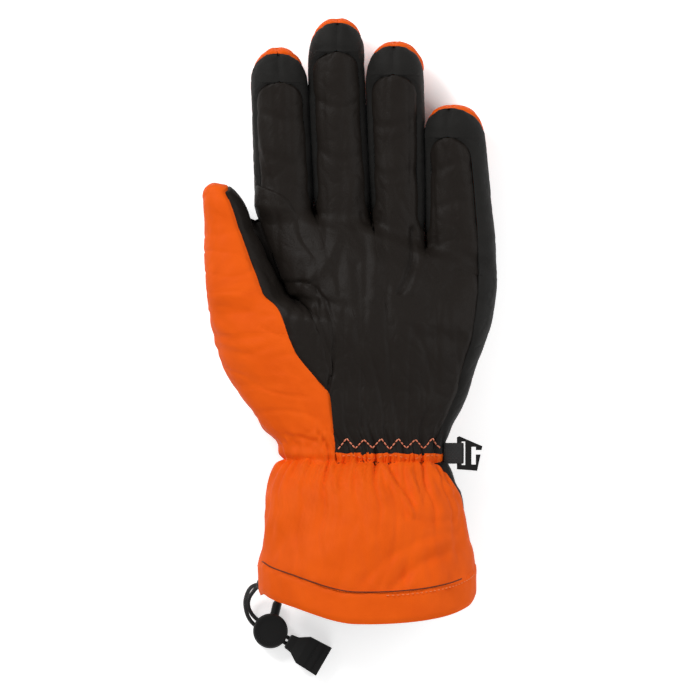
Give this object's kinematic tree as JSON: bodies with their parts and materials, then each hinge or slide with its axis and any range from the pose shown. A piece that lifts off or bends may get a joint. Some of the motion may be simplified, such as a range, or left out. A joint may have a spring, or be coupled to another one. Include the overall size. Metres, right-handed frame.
{
  "type": "ski glove",
  "caption": "Insulated gauntlet ski glove for the left hand, palm up, with a flexing thumb and fingers, a hook on a wrist loop and a hem drawcord with lock and pull.",
  "frame": {"origin": "on the flat rest face at the back of the hand, under the middle of the palm", "axes": "+X towards the little-finger side, +Y towards the fingertips, +Z out of the palm"},
  "size_m": [0.1469, 0.3291, 0.0654],
  "materials": {
    "palm_leather": "matte, fine grain",
    "orange_nylon": "matte, plain weave",
    "softshell": "matte stretch knit",
    "fleece": "brushed pile",
    "elastic": "ribbed",
    "webbing": "ribbed weave",
    "cord": "braided",
    "black_plastic": "satin moulded",
    "spring_steel": "bright wire"
  },
  "bodies": {
    "hand": {"hand_palm_panel": "palm_leather", "hand_back_panel": "orange_nylon", "hand_thenar_panel": "orange_nylon", "thumb_gusset": "palm_leather", "hand_radial_sidewall": "palm_leather", "hand_ulnar_sidewall": "softshell", "index_base_patch": "palm_leather", "hand_lining": "fleece", "wrist_elastic": "elastic", "cuff_palm_panel": "orange_nylon", "cuff_back_panel": "softshell", "hem_band": "orange_nylon", "cuff_lining": "fleece", "webbing_loop": "webbing", "cord_eyelets": "black_plastic", "cord_loop": "cord", "lock_body": "black_plastic", "lock_spring": "spring_steel"},
    "index_finger": {"index_palm_panel": "palm_leather", "index_back_panel": "orange_nylon", "index_radial_sidewall": "softshell", "index_ulnar_sidewall": "softshell", "index_lining": "fleece"},
    "middle_finger": {"middle_palm_panel": "palm_leather", "middle_back_panel": "orange_nylon", "middle_radial_sidewall": "softshell", "middle_ulnar_sidewall": "softshell", "middle_lining": "fleece"},
    "ring_finger": {"ring_palm_panel": "palm_leather", "ring_back_panel": "orange_nylon", "ring_radial_sidewall": "softshell", "ring_ulnar_sidewall": "softshell", "ring_lining": "fleece"},
    "little_finger": {"little_palm_panel": "palm_leather", "little_back_panel": "orange_nylon", "little_radial_sidewall": "softshell", "little_ulnar_sidewall": "softshell", "little_lining": "fleece"},
    "thumb": {"thumb_outer_panel": "orange_nylon", "thumb_inner_panel": "palm_leather", "thumb_back_wedge": "softshell", "thumb_lining": "fleece"},
    "plunger": {"lock_plunger": "black_plastic"},
    "cord_pull": {"cord_tails": "cord", "pull_shell": "black_plastic", "pull_core": "black_plastic"},
    "hook": {"hook_clip": "black_plastic"}
  },
  "joints": [
    {"name": "index_flex", "type": "hinge", "parent": "hand", "child": "index_finger", "pos_m": [-0.04775, 0.06125, 0.0298], "axis": [0.9987, -0.0508, 0], "range_deg": [0, 45]},
    {"name": "middle_flex", "type": "hinge", "parent": "hand", "child": "middle_finger", "pos_m": [-0.01875, 0.0585, 0.0298], "axis": [0.9994, -0.035, 0], "range_deg": [0, 45]},
    {"name": "ring_flex", "type": "hinge", "parent": "hand", "child": "ring_finger", "pos_m": [0.009, 0.0505, 0.0293], "axis": [0.995, -0.0999, 0], "range_deg": [0, 45]},
    {"name": "little_flex", "type": "hinge", "parent": "hand", "child": "little_finger", "pos_m": [0.0405, 0.04025, 0.0288], "axis": [0.9732, -0.2298, 0], "range_deg": [0, 45]},
    {"name": "thumb_flex", "type": "hinge", "parent": "hand", "child": "thumb", "pos_m": [-0.0875, 0.018, 0.04126], "axis": [0.936, 0.352, 0], "range_deg": [0, 30]},
    {"name": "plunger_press", "type": "slide", "parent": "hand", "child": "plunger", "axis": [-0.2419, -0.9703, 0], "range_m": [0, 0.002], "stiffness_N_per_m": 400, "springref_m": -0.002, "deforming": ["lock_spring"]},
    {"name": "pull_slide", "type": "slide", "parent": "hand", "child": "cord_pull", "axis": [0.866, -0.5, 0], "range_m": [0, 0.008]},
    {"name": "hook_swing", "type": "hinge", "parent": "hand", "child": "hook", "pos_m": [0.0395, -0.0615, 0.027], "axis": [0, 1, 0], "range_deg": [-45, 45]}
  ]
}
